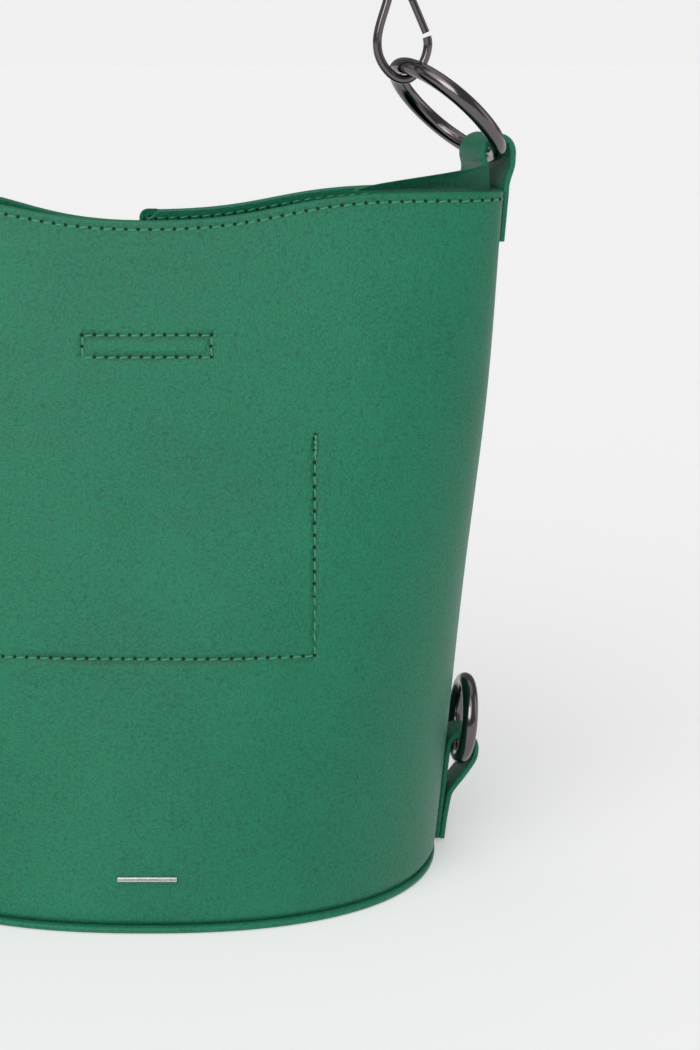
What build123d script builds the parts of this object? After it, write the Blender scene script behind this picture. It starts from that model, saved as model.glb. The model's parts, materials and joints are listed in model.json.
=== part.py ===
import os
from math import atan, cos, degrees, pi, radians, sin, sqrt

from build123d import *

os.makedirs("parts", exist_ok=True)

# Bag body: a leather tube, oval at the base and flattened at the mouth
rimHeight = 232.0
rimRise = 9.0
baseHalfWidth = 107.0
baseHalfDepth = 82.0
mouthHalfWidth = 122.5
mouthHalfDepth = 22.0
baseRoundness = 2.3
mouthRoundness = 4.0
wall = 2.2
basePanelThick = 2.3
boardThick = 2.0
facingThick = 1.2
facingDepth = 28.0
sewnGap = 0.3
lapWidth = 9.0
lapDrop = 4.0
lapLeft = -2.8
rimSide = rimHeight + rimRise

# Things sewn to the front wall
pocketWidth = 113.0
pocketHigh = rimHeight - 71.0
pocketLow = pocketHigh - 72.0
liningThick = 1.2
patchWidth = 46.0
patchHeight = 10.0
patchLow = rimHeight - 46.0
patchThick = 1.5
flapWidth = 34.0
flapLength = 50.0
flapThick = 1.6
magnetRadius = 7.0
magnetThick = 2.6
barLength = 20.0
barHeight = 1.6
barThick = 1.2
barLow = 18.0

# Upper tabs and rings
tabTurn = 16.0
tabSideways = 5.0
tabWidth = 18.0
tabDrop = 18.0
tabThick = 2.2
upperRingRadius = 22.25
upperWire = 2.75
upperPlay = 1.0
ringLean = 42.0
upperSag = upperRingRadius - sqrt(upperRingRadius ** 2 - (tabWidth / 2) ** 2)
upperHollow = upperWire + upperSag / 2 + upperPlay
upperLift = upperHollow + 6.8
tabPlay = 0.6

# Lower tabs and rings
lowerPivot = 34.0
lowerTabWidth = 14.0
lowerTabThick = 2.0
lowerRingRadius = 14.2
lowerWire = 2.8
lowerPlay = 0.52
lowerSag = lowerRingRadius - sqrt(lowerRingRadius ** 2 - (lowerTabWidth / 2) ** 2)
lowerHollow = lowerWire + lowerSag / 2 + lowerPlay
lowerStretch = 4.0

# Snap hooks, swivels and strap
hookLean = 6.0
hookWire = 1.5
hookGap = 0.4
hookPlay = 3.65
hookBend = upperWire + hookWire + hookPlay
runFit = 0.05
gatePinRadius = 0.7
pinHeadRadius = 1.9
pinHeadThick = 0.5
tongueRadius = gatePinRadius + 0.9
tongueThick = 1.4
springThick = 0.8
slotThick = tongueThick + springThick + 0.4
headThick = slotThick + 1.4
headHalf = tongueRadius + 1.8
headLow = hookBend + 19.9
gateZ = headLow + 4.2
neckLow = gateZ + tongueRadius + 1.9
tipX = hookBend + 0.4
tipZ = hookBend + 6.3
rodX = tipX - 4.2
rodZ = headLow - 1.6
gateWire = slotThick / 2 - runFit
swivelPin = 1.5
swivelHead = swivelPin + 0.8
swivelHeadThick = 1.6
neckRadius = swivelHead + 2.2
neckFloor = neckLow + 0.8
neckHigh = neckFloor + swivelHeadThick + 2.6
eyeWire = 1.6
eyeBarLow = neckHigh + eyeWire + 0.8
eyeBarHigh = eyeBarLow + 2 * eyeWire + 6.1
strapWidth = 20.0
strapThick = 3.0
strapLoop = eyeWire + 0.4
legLength = 220.0
rivetRadius = 3.4
rivetHead = 1.0
rivetUp = 13.0


def share(z):
    """Return how far up the wall a height is, from 0 at the base to 1 at the rim."""
    return z / rimSide


def halfWidth(z):
    return baseHalfWidth + (mouthHalfWidth - baseHalfWidth) * (1.25 * share(z) - 0.25 * share(z) ** 2)


def halfDepth(z):
    return baseHalfDepth + (mouthHalfDepth - baseHalfDepth) * share(z)


def roundness(z):
    return baseRoundness + (mouthRoundness - baseRoundness) * share(z) ** 2


def ovalPoint(z, inset, angle):
    """Return a point of the wall at a height, set in from the outside face."""
    power = 2.0 / roundness(z)
    across = abs(cos(angle)) ** power * (1 if cos(angle) >= 0 else -1)
    along = abs(sin(angle)) ** power * (1 if sin(angle) >= 0 else -1)
    return ((halfWidth(z) - inset) * across, (halfDepth(z) - inset) * along)


def oval(z, inset):
    """Return the closed outline of the wall at a height as a face."""
    with BuildSketch(Plane.XY.offset(z)) as outline:
        with BuildLine():
            Spline(*[ovalPoint(z, inset, 2 * pi * i / 28) for i in range(28)], periodic=True)
        make_face()
    return outline.sketch


def tube(inset, low, high, mode):
    """Loft the wall's outline between two heights."""
    loft([oval(low + (high - low) * i / 4, inset) for i in range(5)], mode=mode)


def shell(outer, inner, low, high):
    """Make a band that follows the wall between two insets."""
    tube(outer, low, high, Mode.ADD)
    tube(inner, low, high, Mode.SUBTRACT)


def underRim(raise_):
    """Keep only what lies below the rim line, which dips toward the middle."""
    with BuildSketch(Plane.XZ) as under:
        with BuildLine():
            far = 2 * mouthHalfWidth
            top = rimSide + raise_
            dip = rimHeight + raise_
            level = 0.74 * mouthHalfWidth
            Line((-far, top), (-level, top))
            Bezier((-level, top), (-level * 0.5, top), (-level * 0.5, dip), (0, dip))
            Bezier((0, dip), (level * 0.5, dip), (level * 0.5, top), (level, top))
            Line((level, top), (far, top))
            Polyline((far, top), (far, -10), (-far, -10), (-far, top))
        make_face()
    extrude(under.sketch, amount=2 * baseHalfDepth, both=True, mode=Mode.INTERSECT)


def dropBackLeft(raise_):
    """Cut the left half of the back lower, by a drop that dies out toward the side."""
    with BuildSketch(Plane.XZ) as above:
        with BuildLine():
            top = rimSide + raise_
            dip = rimHeight + raise_ - lapDrop
            level = 0.74 * mouthHalfWidth
            Bezier((-level, top), (-level * 0.5, top), (-level * 0.5, dip), (0, dip))
            Polyline((0, dip), (0, top + 30), (-level, top + 30), (-level, top))
        make_face()
    extrude(above.sketch, amount=-2 * baseHalfDepth, mode=Mode.SUBTRACT)


def frontFace(z, inset):
    """Return how far forward the wall's middle is at a height."""
    return halfDepth(z) - inset


# ---------------------------------------------------------------- body
bodyLow = basePanelThick + sewnGap
shellHigh = rimSide + 7.0

with BuildPart() as body_panel:
    shell(0, wall, bodyLow, shellHigh)
    underRim(0)
    dropBackLeft(0)
with BuildPart() as lap:
    shell(-wall, 0, bodyLow, shellHigh)
    underRim(0)
    with Locations((lapLeft + lapWidth / 2, baseHalfDepth, rimSide / 2)):
        Box(lapWidth, 2 * baseHalfDepth, 2 * rimSide, mode=Mode.INTERSECT)
with BuildPart() as body_whole:
    add(body_panel.part)
    add(lap.part)
body_whole.part.label = "body_panel"
export_step(body_whole.part, "parts/body_panel.step")

with BuildPart() as rim_facing:
    shell(wall + sewnGap, wall + sewnGap + facingThick, rimHeight - facingDepth, shellHigh)
    underRim(-0.4)
    dropBackLeft(-0.4)
rim_facing.part.label = "rim_facing"
export_step(rim_facing.part, "parts/rim_facing.step")

with BuildPart() as base_panel:
    extrude(oval(0, 0), amount=basePanelThick)
base_panel.part.label = "base_panel"
export_step(base_panel.part, "parts/base_panel.step")

with BuildPart() as base_board:
    with BuildSketch(Plane.XY.offset(bodyLow)):
        with BuildLine():
            boardTop = bodyLow + boardThick
            Spline(*[ovalPoint(boardTop, wall + 1.0, 2 * pi * i / 28) for i in range(28)], periodic=True)
        make_face()
    extrude(amount=boardThick)
base_board.part.label = "base_board"
export_step(base_board.part, "parts/base_board.step")

with BuildPart() as front_pocket:
    shell(wall + sewnGap, wall + sewnGap + liningThick, pocketLow - 5, pocketHigh + 5)
    with Locations((0, -baseHalfDepth, (pocketLow + pocketHigh) / 2)):
        Box(pocketWidth, 2 * baseHalfDepth, pocketHigh - pocketLow, mode=Mode.INTERSECT)
front_pocket.part.label = "front_pocket"
export_step(front_pocket.part, "parts/front_pocket.step")

# ---------------------------------------------------------------- closure
with BuildPart() as closure_patch:
    shell(wall + sewnGap, wall + sewnGap + patchThick, patchLow - 2, patchLow + patchHeight + 2)
    with Locations((0, -baseHalfDepth, patchLow + patchHeight / 2)):
        Box(patchWidth, 2 * baseHalfDepth, patchHeight, mode=Mode.INTERSECT)
closure_patch.part.label = "closure_patch"
export_step(closure_patch.part, "parts/closure_patch.step")

flapY = -frontFace(patchLow, wall + patchThick) + 2.6
flapTop = patchLow - 0.5
with BuildPart() as closure_flap:
    with Locations((0, flapY, flapTop - flapLength / 2)):
        Box(flapWidth, flapThick, flapLength)
    fillet(closure_flap.edges().filter_by(Axis.Y).group_by(Axis.Z)[0], flapWidth * 0.4)
closure_flap.part.label = "closure_flap"
export_step(closure_flap.part, "parts/closure_flap.step")

flapMagnetZ = flapTop - flapLength + magnetRadius + 5.0
with BuildPart() as flap_magnet:
    with BuildSketch(Plane.XZ.offset(-(flapY + flapThick / 2))):
        with Locations((0, flapMagnetZ)):
            Circle(magnetRadius)
    extrude(amount=-magnetThick)
    fillet(flap_magnet.edges().filter_by(GeomType.CIRCLE).sort_by(Axis.Y)[-1], 0.6)
flap_magnet.part.label = "flap_magnet"
export_step(flap_magnet.part, "parts/flap_magnet.step")

backPatchHigh = patchLow + patchHeight + 4.0
backPatchLow = backPatchHigh - 4 * magnetRadius
with BuildPart() as magnet_patch:
    shell(wall + sewnGap, wall + sewnGap + patchThick, backPatchLow - 2, backPatchHigh + 2)
    with Locations((0, baseHalfDepth, (backPatchLow + backPatchHigh) / 2)):
        Box(4 * magnetRadius, 2 * baseHalfDepth, backPatchHigh - backPatchLow, mode=Mode.INTERSECT)
magnet_patch.part.label = "magnet_patch"
export_step(magnet_patch.part, "parts/magnet_patch.step")

wallSlope = degrees(atan((baseHalfDepth - mouthHalfDepth) / rimSide))
backMagnetZ = (backPatchLow + backPatchHigh) / 2
backMagnetY = frontFace(backMagnetZ, wall + sewnGap + patchThick + 0.25)
backPlane = Plane(
    origin=(0, backMagnetY, backMagnetZ),
    x_dir=(1, 0, 0),
    z_dir=(0, -cos(radians(wallSlope)), -sin(radians(wallSlope))),
)
with BuildPart() as wall_magnet:
    with BuildSketch(backPlane):
        Circle(magnetRadius)
    extrude(amount=magnetThick)
wall_magnet.part.label = "wall_magnet"
export_step(wall_magnet.part, "parts/wall_magnet.step")

# ---------------------------------------------------------------- small bar on the front
barPlane = Plane(
    origin=(0, -frontFace(barLow, 0) - 0.25, barLow),
    x_dir=(1, 0, 0),
    z_dir=(0, -cos(radians(wallSlope)), sin(radians(wallSlope))),
)
with BuildPart() as front_bar:
    with BuildSketch(barPlane):
        Rectangle(barLength, barHeight)
    extrude(amount=barThick)
    fillet(front_bar.faces().sort_by(Axis.Y)[0].edges(), 0.3)
front_bar.part.label = "front_bar"
export_step(front_bar.part, "parts/front_bar.step")

# ---------------------------------------------------------------- upper tabs and rings
# The tab straddles the mouth's end. Its own axes: out of the wall, and up.
tabDirection = (cos(radians(tabTurn)), sin(radians(tabTurn)))


anchorX = ovalPoint(rimSide, wall, 0)[0] - 0.8


def tabAxes(x, y):
    """Return how far a point lies out of the wall and along it, from the tab's middle."""
    out = (x - anchorX) * tabDirection[0] + (y - tabSideways) * tabDirection[1]
    along = (y - tabSideways) * tabDirection[0] - (x - anchorX) * tabDirection[1]
    return out, along


def outReach(inset, low, high):
    """Return the least and most the wall reaches out over the tab's width."""
    reaches = []
    for z in (low, high):
        for i in range(241):
            out, along = tabAxes(*ovalPoint(z, inset, radians(-60 + i * 0.6)))
            if abs(along) <= tabWidth / 2:
                reaches.append(out)
    return min(reaches), max(reaches)


tabLow = rimSide - tabDrop
tabOut = outReach(0, tabLow, rimSide)[1] + tabPlay
tabIn = outReach(wall + sewnGap + facingThick, tabLow, rimSide)[0] - tabPlay
tabMiddle = (tabOut + tabIn) / 2
tabGap = tabOut - tabIn
lean = radians(ringLean)
upperPivotZ = rimSide + upperLift
hollowShift = upperSag / 2


def sidePlane(side, turn, x, y):
    """Return an upright plane at a side: its x runs out of the wall and its y runs up."""
    return Plane(
        origin=(side * x, y, 0),
        x_dir=(side * cos(radians(turn)), sin(radians(turn)), 0),
        z_dir=(sin(radians(turn)), -side * cos(radians(turn)), 0),
    )


tabX = anchorX + tabMiddle * tabDirection[0]
tabY = tabSideways + tabMiddle * tabDirection[1]
hookReach = 2 * upperRingRadius * cos(lean)
topX = tabX - hookReach * cos(radians(tabTurn))
topY = tabY - hookReach * sin(radians(tabTurn))
topZ = upperPivotZ + 2 * upperRingRadius * sin(lean)


def upperTab(side):
    """Make a folded leaf: two drops joined by a round loop over the ring."""
    hollowAt = (-hollowShift * cos(lean), upperPivotZ + hollowShift * sin(lean))
    with BuildSketch(sidePlane(side, tabTurn, tabX, tabY)) as profile:
        with Locations(hollowAt):
            Circle(upperHollow + tabThick)
        with Locations((0, (tabLow + upperPivotZ) / 2)):
            Rectangle(tabGap + 2 * tabThick, upperPivotZ - tabLow)
        with Locations(hollowAt):
            Circle(upperHollow, mode=Mode.SUBTRACT)
        with Locations((0, (tabLow + upperPivotZ) / 2 - 1)):
            Rectangle(tabGap, upperPivotZ - tabLow + 2, mode=Mode.SUBTRACT)
    extrude(profile.sketch, amount=tabWidth / 2, both=True)


def ringAt(plane, radius, wire):
    """Make a round ring lying in a plane."""
    start = plane.origin + plane.x_dir * radius
    with BuildSketch(Plane(origin=start, x_dir=plane.x_dir, z_dir=plane.y_dir)) as wireSection:
        Circle(wire)
    revolve(wireSection.sketch, axis=Axis(plane.origin, plane.z_dir))


def upperRing(side):
    alongX = -side * cos(lean) * cos(radians(tabTurn))
    alongY = -cos(lean) * sin(radians(tabTurn))
    toTop = Vector(alongX, alongY, sin(lean))
    start = Vector(side * tabX, tabY, upperPivotZ)
    crosswise = Vector(-side * sin(radians(tabTurn)), cos(radians(tabTurn)), 0)
    ringAt(
        Plane(origin=start + toTop * upperRingRadius, x_dir=toTop, z_dir=toTop.cross(crosswise)),
        upperRingRadius,
        upperWire,
    )


with BuildPart() as upper_tab_right:
    upperTab(1)
upper_tab_right.part.label = "upper_tab_right"
export_step(upper_tab_right.part, "parts/upper_tab_right.step")

with BuildPart() as upper_tab_left:
    upperTab(-1)
upper_tab_left.part.label = "upper_tab_left"
export_step(upper_tab_left.part, "parts/upper_tab_left.step")

with BuildPart() as upper_ring_right:
    upperRing(1)
upper_ring_right.part.label = "upper_ring_right"
export_step(upper_ring_right.part, "parts/upper_ring_right.step")

with BuildPart() as upper_ring_left:
    upperRing(-1)
upper_ring_left.part.label = "upper_ring_left"
export_step(upper_ring_left.part, "parts/upper_ring_left.step")

# ---------------------------------------------------------------- lower tabs and rings
sideSlope = 1.25 * (mouthHalfWidth - baseHalfWidth) / rimSide
sideLean = atan(sideSlope)
lowerOut = 0.45 + lowerTabThick + lowerHollow


def lowerPlane(side):
    """Return the plane of a lower tab: x runs out of the wall, y runs up along it."""
    return Plane(
        origin=(side * halfWidth(lowerPivot), 0, lowerPivot),
        x_dir=(side * cos(sideLean), 0, -sin(sideLean)),
        z_dir=(0, -side, 0),
    )


def lowerTab(side):
    """Make a folded leaf sewn down to the base and looped over the ring's wire."""
    near = 0.45
    joined = near + 2 * lowerTabThick
    foot = -(lowerPivot - 1.5)
    pinch = foot + 7.0
    reach = lowerHollow + lowerTabThick
    with BuildSketch(lowerPlane(side)) as profile:
        with Locations((lowerOut, 0), (lowerOut, lowerStretch)):
            Circle(reach)
        with Locations((lowerOut, lowerStretch / 2)):
            Rectangle(2 * reach, lowerStretch)
        with BuildLine():
            Polyline(
                (near, 0), (near, foot), (joined, foot), (joined, pinch),
                (lowerOut + reach, 0), (near, 0),
            )
        make_face()
        with Locations((lowerOut, 0), (lowerOut, lowerStretch)):
            Circle(lowerHollow, mode=Mode.SUBTRACT)
        with Locations((lowerOut, lowerStretch / 2)):
            Rectangle(2 * lowerHollow, lowerStretch, mode=Mode.SUBTRACT)
    extrude(profile.sketch, amount=lowerTabWidth / 2, both=True)


def lowerRing(side):
    """Make the ring standing in the tab's loop, its lowest wire just under the pivot."""
    frame = lowerPlane(side)
    middle = frame.origin + frame.x_dir * lowerOut + frame.y_dir * (lowerRingRadius - lowerSag / 2)
    ringAt(Plane(origin=middle, x_dir=frame.y_dir, z_dir=frame.x_dir), lowerRingRadius, lowerWire)


with BuildPart() as lower_tab_right:
    lowerTab(1)
lower_tab_right.part.label = "lower_tab_right"
export_step(lower_tab_right.part, "parts/lower_tab_right.step")

with BuildPart() as lower_tab_left:
    lowerTab(-1)
lower_tab_left.part.label = "lower_tab_left"
export_step(lower_tab_left.part, "parts/lower_tab_left.step")

with BuildPart() as lower_ring_right:
    lowerRing(1)
lower_ring_right.part.label = "lower_ring_right"
export_step(lower_ring_right.part, "parts/lower_ring_right.step")

with BuildPart() as lower_ring_left:
    lowerRing(-1)
lower_ring_left.part.label = "lower_ring_left"
export_step(lower_ring_left.part, "parts/lower_ring_left.step")

# ---------------------------------------------------------------- snap hooks
tilt = radians(hookLean)
seat = upperWire + hookWire + hookGap
hookX = topX + seat * sin(tilt)
hookZ = topZ - seat * cos(tilt)


def hookPlane(side, forward):
    """Return a hook's upright plane, moved forward; local x is mirrored by the caller."""
    return Plane(
        origin=(side * hookX, topY - forward, hookZ),
        x_dir=(cos(tilt), 0, side * sin(tilt)),
        z_dir=(0, -1, 0),
    )


def hookLevel(side, height):
    """Return the plane across a hook's long axis at a height."""
    frame = hookPlane(side, 0)
    return Plane(origin=frame.origin + frame.y_dir * height, x_dir=frame.x_dir, z_dir=frame.y_dir)


def hookBody(side):
    """Make the teardrop rod, the flat head with its slot for the gate, and the swivel's neck."""
    with BuildLine(hookPlane(side, 0)) as wirePath:
        Spline(
            (side * tipX, tipZ - 1.0), (side * hookBend, hookBend), (0, 0),
            (-side * hookBend, hookBend), (-side * tipX, tipZ),
            (-side * headHalf, headLow + 0.5), (-side * (headHalf - 0.8), gateZ),
        )
    with BuildSketch(Plane(origin=wirePath.line @ 0, z_dir=wirePath.line % 0)) as shape:
        Circle(hookWire)
    sweep(shape.sketch, path=wirePath.line)
    with BuildSketch(hookPlane(side, headThick / 2)) as shape:
        with BuildLine():
            Polyline(
                (-side * (headHalf + 1.3), headLow), (side * (headHalf + 1.0), headLow),
                (side * headHalf, neckLow + 0.4), (-side * headHalf, neckLow + 0.4),
                (-side * (headHalf + 1.3), headLow),
            )
        make_face()
        fillet(shape.vertices(), 0.5)
    extrude(shape.sketch, amount=-headThick)
    slotHigh = gateZ + tongueRadius + 0.4
    slotLow = headLow - 1
    with BuildSketch(hookPlane(side, slotThick / 2)) as shape:
        with Locations((side * (3 * headHalf - tongueRadius - 0.4) / 2, (slotHigh + slotLow) / 2)):
            Rectangle(3 * headHalf + tongueRadius + 0.4, slotHigh - slotLow)
    extrude(shape.sketch, amount=-slotThick, mode=Mode.SUBTRACT)
    with BuildSketch(hookPlane(side, headThick)) as shape:
        with Locations((0, gateZ)):
            Circle(gatePinRadius)
    extrude(shape.sketch, amount=-2 * headThick, mode=Mode.SUBTRACT)
    with BuildSketch(hookLevel(side, neckLow)) as shape:
        Circle(neckRadius)
    extrude(shape.sketch, amount=neckHigh - neckLow)
    with BuildSketch(hookLevel(side, neckFloor)) as shape:
        Circle(swivelHead + runFit)
    extrude(shape.sketch, amount=swivelHeadThick + 2 * runFit, mode=Mode.SUBTRACT)
    with BuildSketch(hookLevel(side, neckFloor + 0.5)) as shape:
        Circle(swivelPin + runFit)
    extrude(shape.sketch, amount=neckHigh - neckFloor + 1, mode=Mode.SUBTRACT)


tongueAt = slotThick / 2 - 0.1
gateLength = sqrt((tipX - rodX) ** 2 + (rodZ - tipZ) ** 2)


def hookGate(side):
    """Make the gate: a flat tongue round the pin and a straight rod down to the nose."""
    frame = hookPlane(side, 0)
    start = frame.origin + frame.x_dir * (side * rodX) + frame.y_dir * rodZ
    end = frame.origin + frame.x_dir * (side * tipX) + frame.y_dir * tipZ
    run = (end - start).normalized()
    with BuildSketch(hookPlane(side, tongueAt)) as shape:
        with Locations((0, gateZ)):
            Circle(tongueRadius)
        with BuildLine():
            Polyline(
                (-side * 0.4, gateZ - tongueRadius * 0.9),
                (side * tongueRadius * 0.8, gateZ + tongueRadius * 0.6),
                (side * (rodX + 1.3), rodZ + 0.6), (side * (rodX + 1.0), rodZ - 0.9),
                (side * (rodX - 1.0), rodZ - 0.9), (-side * 0.4, gateZ - tongueRadius * 0.9),
            )
        make_face()
    extrude(shape.sketch, amount=-tongueThick)
    with BuildSketch(Plane(origin=start, z_dir=run)) as shape:
        Circle(gateWire)
    extrude(shape.sketch, amount=gateLength - hookWire * 0.3)
    with BuildSketch(hookPlane(side, headThick)) as shape:
        with Locations((0, gateZ)):
            Circle(gatePinRadius + runFit)
    extrude(shape.sketch, amount=-2 * headThick, mode=Mode.SUBTRACT)


def gatePin(side):
    """Make the rivet that the gate turns on, with a round head on each face."""
    with BuildSketch(hookPlane(side, headThick / 2 + runFit)) as shape:
        with Locations((0, gateZ)):
            Circle(gatePinRadius)
    extrude(shape.sketch, amount=-(headThick + 2 * runFit))
    for forward in (headThick / 2 + runFit + pinHeadThick, -headThick / 2 - runFit):
        with BuildSketch(hookPlane(side, forward)) as shape:
            with Locations((0, gateZ)):
                Circle(pinHeadRadius)
        extrude(shape.sketch, amount=-pinHeadThick)


def gateSpring(side):
    """Make the small coil beside the tongue."""
    with BuildSketch(hookPlane(side, tongueAt - tongueThick - 0.1)) as shape:
        with Locations((0, gateZ)):
            Circle(gatePinRadius + 0.6)
            Circle(gatePinRadius + runFit, mode=Mode.SUBTRACT)
    extrude(shape.sketch, amount=-springThick)


def swivelEye(side):
    """Make the pin with its head, and the oblong eye that the strap folds round."""
    with BuildSketch(hookLevel(side, neckFloor + runFit)) as shape:
        Circle(swivelHead)
    extrude(shape.sketch, amount=swivelHeadThick)
    with BuildSketch(hookLevel(side, neckFloor + swivelHeadThick / 2)) as shape:
        Circle(swivelPin)
    extrude(shape.sketch, amount=eyeBarLow - neckFloor - swivelHeadThick / 2)
    across = strapWidth / 2 + 1.2 + eyeWire
    middle = hookLevel(side, (eyeBarLow + eyeBarHigh) / 2)
    tall = (eyeBarHigh - eyeBarLow) / 2
    eyePlane = Plane(origin=middle.origin, x_dir=(0, 1, 0), z_dir=middle.x_dir)
    with BuildLine(eyePlane) as eyePath:
        FilletPolyline(
            (across, -tall), (across, tall), (-across, tall), (-across, -tall),
            radius=eyeWire + 0.6, close=True,
        )
    with BuildSketch(Plane(origin=eyePath.line @ 0, z_dir=eyePath.line % 0)) as shape:
        Circle(eyeWire)
    sweep(shape.sketch, path=eyePath.line)


with BuildPart() as hook_body_right:
    hookBody(1)
hook_body_right.part.label = "hook_body_right"
export_step(hook_body_right.part, "parts/hook_body_right.step")

with BuildPart() as hook_body_left:
    hookBody(-1)
hook_body_left.part.label = "hook_body_left"
export_step(hook_body_left.part, "parts/hook_body_left.step")

with BuildPart() as hook_gate_right:
    hookGate(1)
hook_gate_right.part.label = "hook_gate_right"
export_step(hook_gate_right.part, "parts/hook_gate_right.step")

with BuildPart() as hook_gate_left:
    hookGate(-1)
hook_gate_left.part.label = "hook_gate_left"
export_step(hook_gate_left.part, "parts/hook_gate_left.step")

with BuildPart() as gate_pin_right:
    gatePin(1)
gate_pin_right.part.label = "gate_pin_right"
export_step(gate_pin_right.part, "parts/gate_pin_right.step")

with BuildPart() as gate_pin_left:
    gatePin(-1)
gate_pin_left.part.label = "gate_pin_left"
export_step(gate_pin_left.part, "parts/gate_pin_left.step")

with BuildPart() as gate_spring_right:
    gateSpring(1)
gate_spring_right.part.label = "gate_spring_right"
export_step(gate_spring_right.part, "parts/gate_spring_right.step")

with BuildPart() as gate_spring_left:
    gateSpring(-1)
gate_spring_left.part.label = "gate_spring_left"
export_step(gate_spring_left.part, "parts/gate_spring_left.step")

with BuildPart() as swivel_eye_right:
    swivelEye(1)
swivel_eye_right.part.label = "swivel_eye_right"
export_step(swivel_eye_right.part, "parts/swivel_eye_right.step")

with BuildPart() as swivel_eye_left:
    swivelEye(-1)
swivel_eye_left.part.label = "swivel_eye_left"
export_step(swivel_eye_left.part, "parts/swivel_eye_left.step")

# ---------------------------------------------------------------- strap
eyeTop = Vector(hookX - eyeBarHigh * sin(tilt), topY, hookZ + eyeBarHigh * cos(tilt))
legEnd = Vector(eyeTop.X - legLength * sin(tilt), topY, eyeTop.Z + legLength * cos(tilt))
archRadius = legEnd.X / cos(tilt)
archZ = legEnd.Z - archRadius * sin(tilt)
loopOuter = strapLoop + strapThick / 2

with BuildPart() as strap:
    with BuildSketch(Plane.XZ.offset(-topY)):
        with Locations((0, archZ)):
            Circle(archRadius + strapThick / 2)
            Circle(archRadius - strapThick / 2, mode=Mode.SUBTRACT)
        with Locations((0, archZ - archRadius)):
            Rectangle(3 * archRadius, 2 * (archRadius + legEnd.Z - archZ), mode=Mode.SUBTRACT)
        for side in (1, -1):
            with Locations(Location((side * (eyeTop.X + legEnd.X) / 2, (eyeTop.Z + legEnd.Z) / 2, 0),
                                    (0, 0, side * hookLean))):
                Rectangle(strapThick, legLength)
            with Locations((side * eyeTop.X, eyeTop.Z)):
                Circle(loopOuter)
        for side in (1, -1):
            with Locations((side * eyeTop.X, eyeTop.Z)):
                Circle(strapLoop, mode=Mode.SUBTRACT)
    extrude(amount=strapWidth / 2, both=True)
    for side in (1, -1):
        frame = hookPlane(side, 0)
        middle = frame.origin + frame.y_dir * (eyeBarHigh + rivetUp)
        with BuildSketch(Plane(origin=middle - frame.x_dir * strapThick, z_dir=frame.x_dir)):
            Circle(1.2)
        extrude(amount=2 * strapThick, mode=Mode.SUBTRACT)
strap.part.label = "strap"
export_step(strap.part, "parts/strap.step")


def strapRivet(side):
    """Make a rivet through the folded strap end: a shank and two flat heads."""
    frame = hookPlane(side, 0)
    middle = frame.origin + frame.y_dir * (eyeBarHigh + rivetUp)
    half = strapThick / 2 + 0.05
    with BuildSketch(Plane(origin=middle - frame.x_dir * half, z_dir=frame.x_dir)) as shape:
        Circle(1.2)
    extrude(shape.sketch, amount=2 * half)
    for start in (half, -half - rivetHead):
        with BuildSketch(Plane(origin=middle + frame.x_dir * start, z_dir=frame.x_dir)) as shape:
            Circle(rivetRadius)
        extrude(shape.sketch, amount=rivetHead)


with BuildPart() as strap_rivet_right:
    strapRivet(1)
strap_rivet_right.part.label = "strap_rivet_right"
export_step(strap_rivet_right.part, "parts/strap_rivet_right.step")

with BuildPart() as strap_rivet_left:
    strapRivet(-1)
strap_rivet_left.part.label = "strap_rivet_left"
export_step(strap_rivet_left.part, "parts/strap_rivet_left.step")

print("swing axis", round(hookX, 4), round(topY, 4), round(hookZ, 4))
print("upper ring pivot", round(tabX, 4), round(tabY, 4), round(upperPivotZ, 4), "tab gap", round(tabGap, 3))
lowerAt = lowerPlane(1).origin + lowerPlane(1).x_dir * lowerOut
print("lower ring pivot", round(lowerAt.X, 4), round(lowerAt.Y, 4), round(lowerAt.Z, 4))
gateAt = hookPlane(1, 0).origin + hookPlane(1, 0).y_dir * gateZ
print("gate pivot", round(gateAt.X, 4), round(gateAt.Y, 4), round(gateAt.Z, 4))
print("flap pivot", round(flapY, 4), round(flapTop, 4))
print("strap bar", round(eyeTop.X, 4), round(eyeTop.Z, 4))
print("strap top", round(archZ + archRadius + strapThick / 2, 2), "arch radius", round(archRadius, 2))
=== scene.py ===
import json
import math

import bmesh
import bpy
import numpy as np
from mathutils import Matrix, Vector


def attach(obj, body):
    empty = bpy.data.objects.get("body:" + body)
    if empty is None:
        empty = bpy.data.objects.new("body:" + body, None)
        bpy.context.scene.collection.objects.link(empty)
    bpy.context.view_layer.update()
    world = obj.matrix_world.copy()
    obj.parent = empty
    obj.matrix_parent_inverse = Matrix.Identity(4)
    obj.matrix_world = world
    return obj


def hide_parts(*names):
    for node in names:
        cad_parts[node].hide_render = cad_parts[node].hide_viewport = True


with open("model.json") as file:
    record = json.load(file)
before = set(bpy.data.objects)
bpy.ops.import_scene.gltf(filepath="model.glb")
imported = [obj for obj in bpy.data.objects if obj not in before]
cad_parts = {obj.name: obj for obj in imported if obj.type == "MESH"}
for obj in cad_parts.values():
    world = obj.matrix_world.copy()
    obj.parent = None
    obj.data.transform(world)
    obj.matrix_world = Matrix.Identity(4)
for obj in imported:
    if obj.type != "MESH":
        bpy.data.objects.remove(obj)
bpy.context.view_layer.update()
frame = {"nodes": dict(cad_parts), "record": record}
mm = 0.001
print("frame loaded")

# ---- small tools ----

def hexColour(text):  # sRGB hex to linear: ((c + 0.055) / 1.055) ^ 2.4 above 0.04045, c / 12.92 below
    parts = [int(text[i:i + 2], 16) / 255 for i in (1, 3, 5)]
    return tuple(((c + 0.055) / 1.055) ** 2.4 if c > 0.04045 else c / 12.92 for c in parts) + (1.0,)


def unit(v):  # a vector divided by its own length
    v = np.asarray(v, float)
    return v / np.maximum(np.linalg.norm(v, axis=-1, keepdims=True), 1e-12)


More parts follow.
